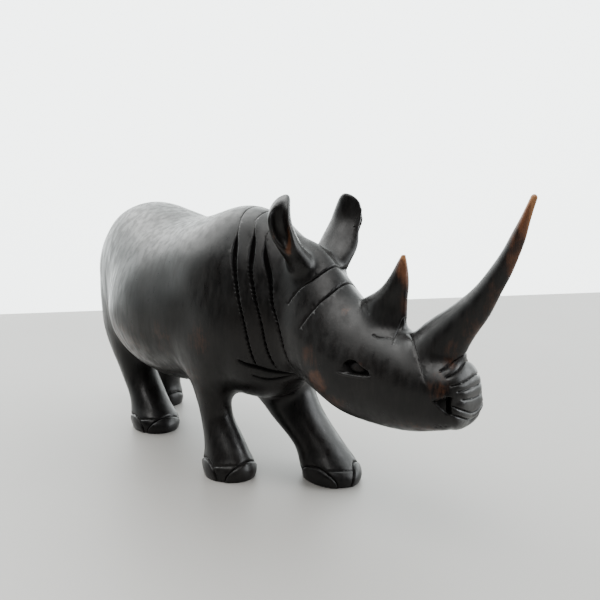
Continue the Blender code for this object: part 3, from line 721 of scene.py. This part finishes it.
def surface_net(field, lower, upper, step):
    """One vertex in each grid cell that the surface crosses, at the mean of its
    crossings, and two triangles round each grid edge that it crosses."""
    axes = [np.arange(low, high + step, step) for low, high in zip(lower, upper)]
    grid = np.stack(np.meshgrid(*axes, indexing="ij"), -1)
    values = np.stack([field(sheet) for sheet in grid])
    fill_pinches(values)
    cells = tuple(np.array(values.shape) - 1)
    total = np.zeros(cells + (3,))
    count = np.zeros(cells)
    crossings = []
    for axis in range(3):
        first = tuple(slice(0, -1) if i == axis else slice(None) for i in range(3))
        second = tuple(slice(1, None) if i == axis else slice(None) for i in range(3))
        crossed = (values[first] < 0) != (values[second] < 0)
        places = grid[first].copy()
        gap = np.where(crossed, values[first] - values[second], 1)
        places[..., axis] += step * values[first] / gap
        places[~crossed] = 0
        beside = [i for i in range(3) if i != axis]
        for shift in ((0, 0), (0, 1), (1, 0), (1, 1)):
            window = [slice(None)] * 3
            for i, start in zip(beside, shift):
                window[i] = slice(start, start + cells[i])
            total += places[tuple(window)]
            count += crossed[tuple(window)]
        crossings.append((axis, np.argwhere(crossed), values[first][crossed] < 0))
    used = count > 0
    number = np.full(cells, -1)
    number[used] = np.arange(used.sum())
    rings = []
    for axis, edges, starts_inside in crossings:
        across = np.eye(3, dtype=int)[(axis + 1) % 3]
        up = np.eye(3, dtype=int)[(axis + 2) % 3]
        corners = [number[tuple((edges - shift).T)] for shift in (across + up, up, 0 * up, across)]
        ring = np.stack(corners, 1)
        ring[~starts_inside] = ring[~starts_inside][:, ::-1]
        rings.append(ring)
    rings = np.concatenate(rings)
    return total[used] / count[used][:, None], np.concatenate([rings[:, [0, 1, 2]], rings[:, [0, 2, 3]]])


def slope_of(field, points, probe=0.1):
    """The field's slope from its values a small step either way along each axis."""
    return np.stack([field(points + probe * axis) - field(points - probe * axis)
                     for axis in np.eye(3)], -1) / (2 * probe)


def settle(points):
    """A Newton step along the field's slope, so the points lie on the masses' surface."""
    slope = slope_of(masses, points)
    step = masses(points) / np.maximum((slope * slope).sum(-1), 0.2)
    return points - np.clip(step, -1.0, 1.0)[:, None] * slope


def even_out(points, triangles, rounds):
    """Moves each point half of the way to the mean of its neighbours and back onto the
    masses' surface, so that the triangles are alike."""
    count = np.bincount(triangles.ravel(), minlength=len(points))[:, None] * 2
    for _ in range(rounds):
        total = np.zeros_like(points)
        for corner in range(3):
            beside = points[triangles[:, corner - 1]] + points[triangles[:, corner - 2]]
            for axis in range(3):
                total[:, axis] += np.bincount(triangles[:, corner], beside[:, axis], len(points))
        points = settle((points + total / count) / 2)
    return points


def halve_edges(points, triangles, wanted):
    """Puts a vertex at the middle of each edge with both ends wanted. A triangle with
    one, two or three such edges becomes two, three or four triangles."""
    ends = np.sort(triangles[:, [[0, 1], [1, 2], [2, 0]]], -1)
    codes, number = np.unique(ends[..., 0] * len(points) + ends[..., 1], return_inverse=True)
    first, second = codes // len(points), codes % len(points)
    split = wanted[first] & wanted[second]
    middle = np.full(len(codes), -1)
    middle[split] = len(points) + np.arange(split.sum())
    added = (points[first[split]] + points[second[split]]) / 2
    number = number.reshape(-1, 3)
    middles = middle[number]
    count = (middles >= 0).sum(1)
    parts = [triangles[count == 0]]
    whole = count == 3
    a, b, c = triangles[whole].T
    ab, bc, ca = middles[whole].T
    parts += [np.stack(corner, 1) for corner in ((a, ab, ca), (ab, b, bc), (ca, bc, c), (ab, bc, ca))]
    for turn in range(3):
        corners = np.roll(triangles, -turn, 1)
        halves = np.roll(middles, -turn, 1)
        one = (count == 1) & (halves[:, 0] >= 0)
        a, b, c = corners[one].T
        ab = halves[one][:, 0]
        parts += [np.stack((a, ab, c), 1), np.stack((ab, b, c), 1)]
        two = (count == 2) & (halves[:, 2] < 0)
        a, b, c = corners[two].T
        ab, bc, _ = halves[two].T
        parts += [np.stack(corner, 1) for corner in ((ab, b, bc), (a, ab, bc), (a, bc, c))]
    return np.concatenate([points, added]), np.concatenate(parts)


def near_cuts(points, triangles, parts):
    """True for the corners of triangles that are too coarse for the cuts: at some place
    of a lattice in them the depth departs from the plane through the corners' depths."""
    crossed = np.zeros(len(triangles), bool)
    shade_in_cuts = cut_depth(points)[triangles]
    for i in range(parts + 1):
        for j in range(parts + 1 - i):
            share = np.array([i, j, parts - i - j]) / parts
            depth = cut_depth(np.einsum("k,tkc->tc", share, points[triangles]))
            crossed |= np.abs(depth - shade_in_cuts @ share) > CUT_ERROR
    found = np.zeros(len(points), bool)
    found[triangles[crossed]] = True
    return found


def near_edges(points, triangles):
    """True for the corners of triangles that turn sharply from their neighbours."""
    a, b, c = points[triangles].transpose(1, 0, 2)
    normal = np.cross(b - a, c - a)
    normal /= np.maximum(np.linalg.norm(normal, axis=1, keepdims=True), 1e-9)
    mean = np.zeros_like(points)
    for corner in range(3):
        np.add.at(mean, triangles[:, corner], normal)
    mean /= np.maximum(np.linalg.norm(mean, axis=1, keepdims=True), 1e-9)
    turned = (mean[triangles] * normal[:, None]).sum(-1) < np.cos(radians(SHARP_TURN))
    found = np.zeros(len(points), bool)
    found[triangles[turned.any(1)]] = True
    return found


def stand_on_floor(points, triangles):
    """Cuts the surface level at height 0 and closes the soles, so that they are flat."""
    model = bmesh.new()
    corners = [model.verts.new(point) for point in points]
    for triangle in triangles:
        model.faces.new([corners[i] for i in triangle])
    everything = model.verts[:] + model.edges[:] + model.faces[:]
    bmesh.ops.bisect_plane(model, geom=everything, dist=1e-4, plane_co=(0, 0, 0),
                           plane_no=(0, 0, 1), clear_inner=True)
    bmesh.ops.holes_fill(model, edges=model.edges, sides=0)
    bmesh.ops.triangulate(model, faces=model.faces)
    model.verts.index_update()
    points = np.array([corner.co for corner in model.verts])
    triangles = np.array([[corner.index for corner in face.verts] for face in model.faces])
    model.free()
    return points, triangles


def unevenness(points):
    """The hand's waver: sines of three slanted directions, 17 to 41 shares apart."""
    waves = np.zeros(len(points))
    for length, along, size in HAND_WAVES:
        along = np.array(along) / np.linalg.norm(along)
        across = np.array([along[1], along[2], along[0]])
        phase = 2 * np.pi * (points @ along) / length
        waves += size * np.sin(phase + 1.3 * np.sin(2 * np.pi * (points @ across) / (1.7 * length)))
    return waves


def carve_body():
    """The masses' surface, finer at cuts and edges, with the cuts pressed along its slope."""
    points, triangles = surface_net(masses, FIELD_LOWER, FIELD_UPPER, GRID_STEP)
    points = even_out(settle(points), triangles, 2)
    points, triangles = stand_on_floor(points, triangles)
    for parts in LATTICES:
        wanted = near_cuts(points, triangles, parts) | near_edges(points, triangles)
        wanted &= points[:, 2] > SOLE_HEIGHT
        points, triangles = halve_edges(points, triangles, wanted)
        loose = points[:, 2] > SOLE_HEIGHT
        points[loose] = settle(points[loose])
    inward = slope_of(masses, points)
    inward[points[:, 2] < SOLE_HEIGHT, 2] = 0
    inward /= np.maximum(np.linalg.norm(inward, axis=1, keepdims=True), 1e-9)
    depth = cut_depth(points)
    points = points - inward * (depth + unevenness(points))[:, None]
    points[:, 2] = np.maximum(points[:, 2], 0)
    return points, triangles, depth


def edge_wear(points):
    """How sharply the masses turn outwards: the field's mean over six places round a
    point, less its value there, over the probe squared."""
    here = masses(points)
    total = -6 * here
    for axis in np.eye(3):
        total += masses(points + WEAR_PROBE * axis) + masses(points - WEAR_PROBE * axis)
    return ramp((total / WEAR_PROBE ** 2 - WEAR_STARTS) / (WEAR_ENDS - WEAR_STARTS))


def bare_wood(points):
    """How far the stain is worn off: round each worn place, a soft ellipsoid's share."""
    straight = straighten(points)
    bare = np.zeros(len(points))
    for centre, radii, strength in WORN_PLACES:
        for side in (1, -1):
            mirrored = np.array([centre[0], centre[1] * side, centre[2]])
            away = np.linalg.norm((straight - mirrored) / radii, axis=1)
            bare = np.maximum(bare, strength * ramp(1.4 - away))
    return bare


class Wire:
    """A node's output. Arithmetic on it adds Math nodes, and node() adds any other."""

    def __init__(self, tree, socket=None):
        self.tree = tree
        self.socket = socket

    def node(self, kind, settings=None, sockets=None, output=0):
        """Adds a shader node: its settings first, then the values or links of its sockets."""
        made = self.tree.nodes.new("ShaderNode" + kind)
        for name, value in (settings or {}).items():
            setattr(made, name, value)
        for name, value in (sockets or {}).items():
            entry = made.inputs[name]
            if isinstance(value, Wire):
                self.tree.links.new(value.socket, entry)
            else:
                entry.default_value = value
        return Wire(self.tree, made.outputs[output])

    def math(self, operation, *values):
        return self.node("Math", {"operation": operation}, dict(enumerate(values)))

    def __add__(self, other):
        return self.math("ADD", self, other)

    __radd__ = __add__

    def __sub__(self, other):
        return self.math("SUBTRACT", self, other)

    def __rsub__(self, other):
        return self.math("SUBTRACT", other, self)

    def __mul__(self, other):
        return self.math("MULTIPLY", self, other)

    def between(self, low, high):
        """0 at the low value, 1 at the high one, and a smooth S between."""
        return self.node("MapRange", {"interpolation_type": "SMOOTHSTEP"},
                         {"Value": self, "From Min": low, "From Max": high})

    def mix(self, first, second):
        """The first colour where this is 0 and the second where it is 1."""
        return self.node("Mix", {"data_type": "RGBA"}, {0: self, 6: first, 7: second}, 2)

    def stretched(self, scales):
        """A vector times three scales."""
        return self.node("VectorMath", {"operation": "MULTIPLY"}, {0: self, 1: scales})

    def noise(self, scale, detail=3.0, roughness=0.55, distortion=0.0):
        """Noise about 0.5, with the vector as its place."""
        return self.node("TexNoise", {"noise_dimensions": "3D"},
                         {"Vector": self, "Scale": scale, "Detail": detail,
                          "Roughness": roughness, "Distortion": distortion})


def new_material(name):
    """An empty node material and its tree as a Wire."""
    material = bpy.data.materials.new(name)
    material.use_nodes = True
    material.node_tree.nodes.clear()
    return material, Wire(material.node_tree)


def lead_out(surface, kind="Material"):
    """Leads a shader to the output of its tree."""
    output = surface.tree.nodes.new("ShaderNodeOutput" + kind)
    surface.tree.links.new(surface.socket, output.inputs["Surface"])


def dark_wood_finish():
    """Near-black stained wood, polished by hand: brown where it is worn, with streaks
    along the strokes of the cloth, and painted shade in the cuts: a matt near-black shader mixed in by
    their depth."""
    material, wire = new_material("dark_wood")
    place = wire.node("Attribute", {"attribute_name": "place"}, output=1)
    bare = wire.node("Attribute", {"attribute_name": "bare"}, output=2)
    wear = wire.node("Attribute", {"attribute_name": "wear"}, output=2)
    cut = wire.node("Attribute", {"attribute_name": "cut"}, output=2)
    streaks = place.stretched((0.9, 0.9, 0.10)).noise(1.0, 3.0, 0.55, 0.2)
    fine_streaks = place.stretched((3.2, 3.2, 0.35)).noise(1.0, 3.0, 0.6, 0.2)
    clouds = place.noise(0.045, 3.0, 0.6)
    blotches = place.noise(0.16, 4.0, 0.65)
    broken = (streaks * 0.45 + blotches * 0.55).between(0.34, 0.66)
    worn = (bare * 1.35 + broken * 0.55 - 0.55 + wear * (0.10 + blotches * 0.4)).between(0.0, 0.95)
    # Painted shade in the cuts and the ear scoops, from the depth that the cut attribute carries
    shade_in_cuts = cut.between(0.25, 1.0)
    # Less worn brown in the cuts, as part of their painted shade
    worn = worn * (1 - shade_in_cuts * 0.8)
    ground = (clouds * 0.6 + streaks * 0.4).between(0.38, 0.66).mix(STAIN_DARK, STAIN_LIGHT)
    browns = (bare * 1.1 + fine_streaks * 0.5 + blotches * 0.3 - 0.5).between(0.0, 1.0)
    browns = browns.mix(BROWN_DEEP, BROWN_BRIGHT)
    colour = worn.mix(ground, browns)
    tan = (worn * 0.7 + wear * 0.6 + (fine_streaks - 0.5) * 0.6).between(0.75, 1.25)
    colour = (tan * 0.8).mix(colour, TAN)
    wipes = place.stretched((0.30, 0.30, 0.07)).noise(1.0, 2.0, 0.5, 0.2)
    rough = 0.18 + streaks * 0.14 + fine_streaks * 0.08 + wipes.between(0.3, 0.7) * 0.18 + shade_in_cuts * 0.12
    height = streaks * 0.12 + fine_streaks * 0.05 + blotches * 0.08 + wipes * 0.10
    bump = wire.node("Bump", None, {"Strength": 0.2, "Distance": 0.5 * SHARE, "Height": height})
    surface = wire.node("BsdfPrincipled", None, {
        "Base Color": colour, "Roughness": rough, "Normal": bump, "Specular IOR Level": 0.24,
        "Coat Weight": 0.04, "Coat Roughness": 0.2})
    # The painted shade of the cuts: a matt near-black shader, mixed in by their depth
    painted_shade_shader = wire.node("BsdfPrincipled", None, {
        "Base Color": CUT_PAINTED_SHADE, "Roughness": 0.8, "Normal": bump, "Specular IOR Level": 0.05})
    surface = wire.node("MixShader", None, {0: shade_in_cuts * 0.92, 1: surface, 2: painted_shade_shader})
    lead_out(surface)
    return material


def floor_finish():
    """A plain pale floor, faintly uneven in its gloss."""
    material, wire = new_material("pale_floor")
    spot = wire.node("TexCoord", output=3)
    cloud = spot.noise(6.0, 2.0)
    surface = wire.node("BsdfPrincipled", None, {
        "Base Color": FLOOR_COLOUR, "Roughness": 0.42 + cloud * 0.08})
    lead_out(surface)
    return material


def mesh_piece(name, points, faces, material, smooth=True):
    """A mesh object at the origin with its place in its mesh."""
    mesh = bpy.data.meshes.new(name)
    mesh.from_pydata(points, [], faces)
    mesh.materials.append(material)
    mesh.polygons.foreach_set("use_smooth", np.full(len(mesh.polygons), smooth))
    mesh.update()
    piece = bpy.data.objects.new(name, mesh)
    bpy.context.scene.collection.objects.link(piece)
    return piece


def give_attribute(piece, name, kind, values):
    """Stores one value or vector for each point of a piece."""
    layer = piece.data.attributes.new(name, kind, "POINT")
    layer.data.foreach_set("vector" if kind == "FLOAT_VECTOR" else "value", np.ravel(values))


def soft_light(name, place, towards, size, power, colour):
    """A square area light at a place, facing another."""
    light = bpy.data.lights.new(name, "AREA")
    light.size = size
    light.energy = power
    light.color = colour
    lamp = bpy.data.objects.new(name, light)
    lamp.location = place
    lamp.rotation_euler = (Vector(towards) - Vector(place)).to_track_quat("-Z", "Y").to_euler()
    bpy.context.scene.collection.objects.link(lamp)


body_points, body_triangles, body_depth = carve_body()

# From shares to the frame: the body stands in the middle of its own box
body_middle = (body_points.min(0) + body_points.max(0)) / 2
body_middle[2] = 0
carving = mesh_piece("carved_rhinoceros", (body_points - body_middle) * SHARE, body_triangles,
                     dark_wood_finish())
give_attribute(carving, "place", "FLOAT_VECTOR", body_points)
straight_points = straighten(body_points)
# Painted shade: the cuts' depth, less on the eye and nostril floors, and the ear scoops, stored as the
# cut attribute
shades = np.maximum(cut_shade(straight_points, body_depth), HOLLOW_SHADE * ear_hollows(straight_points))
give_attribute(carving, "cut", "FLOAT", shades)
give_attribute(carving, "wear", "FLOAT", edge_wear(body_points))
give_attribute(carving, "bare", "FLOAT", bare_wood(body_points))
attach(carving, "root")
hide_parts("rhinoceros")

# Directions as the camera sees them
bearing = radians(CAMERA_BEARING)
behind = np.array([-np.cos(bearing), np.sin(bearing), 0])
right = np.array([np.sin(bearing), np.cos(bearing), 0])
upward = np.array([0, 0, 1])

# Stage: a flat floor whose far edge shows behind the carving
floor_points = [beside * right + back * behind for beside, back in FLOOR_CORNERS]
floor = mesh_piece("floor", floor_points, [(0, 1, 2, 3)], floor_finish(), smooth=False)

camera_place = (np.array(CAMERA_PLACE) - body_middle) * SHARE
looks = behind * np.cos(radians(CAMERA_DOWN)) - upward * np.sin(radians(CAMERA_DOWN))
camera = bpy.data.objects.new("camera", bpy.data.cameras.new("camera"))
camera.data.sensor_width = SENSOR
camera.data.lens = SENSOR * FOCAL_PIXELS / FRAME_PIXELS
camera.location = camera_place
camera.rotation_euler = Vector(looks).to_track_quat("-Z", "Y").to_euler()
bpy.context.scene.collection.objects.link(camera)
bpy.context.scene.camera = camera

target = np.array([0, 0, LIGHTS_AIM])
for name, (leftward, rise, backward, size, power, colour) in LIGHTS.items():
    place = target - leftward * right + rise * upward + backward * behind
    soft_light(name, place, target, size, power, colour)

# The room: pale all round, brightest behind and above the carving
world = bpy.data.worlds.new("room")
bpy.context.scene.world = world
world.use_nodes = True
world.node_tree.nodes.clear()
room = Wire(world.node_tree)
direction = room.node("TexCoord", output=0)
brightest = sum(share * way for share, way in zip(ROOM_DIRECTION, (behind, right, upward)))
facing = room.node("VectorMath", {"operation": "DOT_PRODUCT"}, {0: direction, 1: tuple(brightest)}, 1)
brightness = facing.between(*ROOM_TURNS) * (ROOM_BRIGHT - ROOM_DIM) + ROOM_DIM
backdrop = room.node("Background", None, {"Color": ROOM_COLOUR, "Strength": brightness})
lead_out(backdrop, "World")
